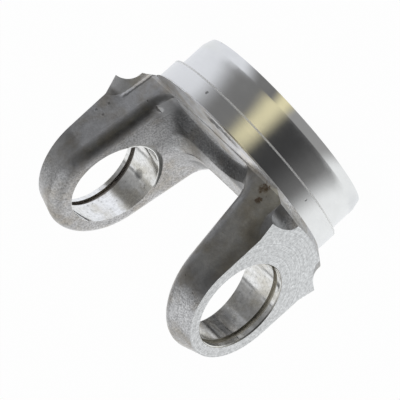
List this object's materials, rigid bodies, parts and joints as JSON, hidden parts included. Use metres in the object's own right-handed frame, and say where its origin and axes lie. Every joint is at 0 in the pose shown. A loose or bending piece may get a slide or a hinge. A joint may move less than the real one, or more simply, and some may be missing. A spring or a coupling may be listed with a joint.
{
  "type": "driveshaft tube yoke",
  "caption": "Forged steel clevis yoke with bored ears for bearing caps and a turned collar and pilot that are welded into a round tube.",
  "frame": {"origin": "joint centre: the point on the turning axis where the bore axis crosses it, midway between the ears", "axes": "+X along the bore axis, +Z along the turning axis towards the ear tips, -Z out of the weld end; the part stands on its pilot end face"},
  "size_m": [0.0684, 0.0648, 0.0633],
  "materials": {
    "forged_steel": "as-forged skin, with turned and bored faces left bright"
  },
  "bodies": {
    "root": {"weld_yoke": "forged_steel"}
  },
  "joints": []
}
